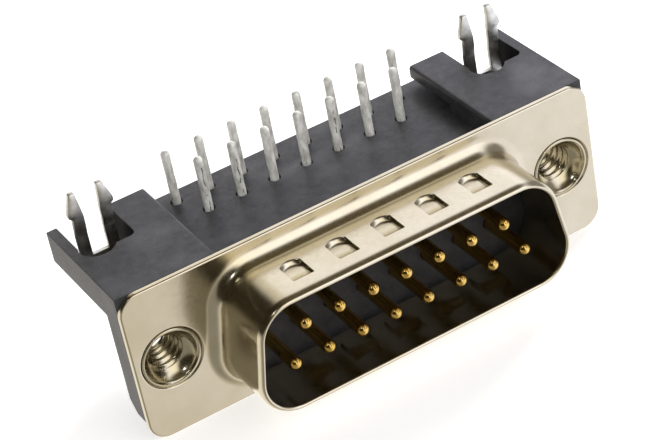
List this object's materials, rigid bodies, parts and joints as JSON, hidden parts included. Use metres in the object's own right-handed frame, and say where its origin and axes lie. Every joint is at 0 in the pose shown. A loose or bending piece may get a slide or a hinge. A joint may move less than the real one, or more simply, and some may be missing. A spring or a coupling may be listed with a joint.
{
  "type": "board connector",
  "caption": "Right-angle board connector: D-shaped metal shroud around two rows of pins, dark moulded housing with bent solder tails, threaded inserts and barbed board locks.",
  "frame": {"origin": "midway between the two threaded inserts, on the front face of the shell's flange", "axes": "+X along the rows of contacts, -Y out of the shroud towards the mating plug, +Z towards the circuit board that the tails enter"},
  "size_m": [0.0392, 0.0181, 0.0162],
  "materials": {
    "shell_metal": "bright plated sheet",
    "insulator_plastic": "satin moulded",
    "housing_plastic": "fine matte moulded",
    "insert_metal": "bright plated, turned",
    "lock_metal": "tin plated strip",
    "contact_metal": "gold-coloured pins, matte tin tails"
  },
  "bodies": {
    "root": {"front_shell": "shell_metal", "contact_insulator": "insulator_plastic", "rear_housing": "housing_plastic", "left_insert": "insert_metal", "right_insert": "insert_metal", "left_board_lock": "lock_metal", "right_board_lock": "lock_metal", "contact_1": "contact_metal", "contact_2": "contact_metal", "contact_3": "contact_metal", "contact_4": "contact_metal", "contact_5": "contact_metal", "contact_6": "contact_metal", "contact_7": "contact_metal", "contact_8": "contact_metal", "contact_9": "contact_metal", "contact_10": "contact_metal", "contact_11": "contact_metal", "contact_12": "contact_metal", "contact_13": "contact_metal", "contact_14": "contact_metal", "contact_15": "contact_metal"}
  },
  "joints": []
}
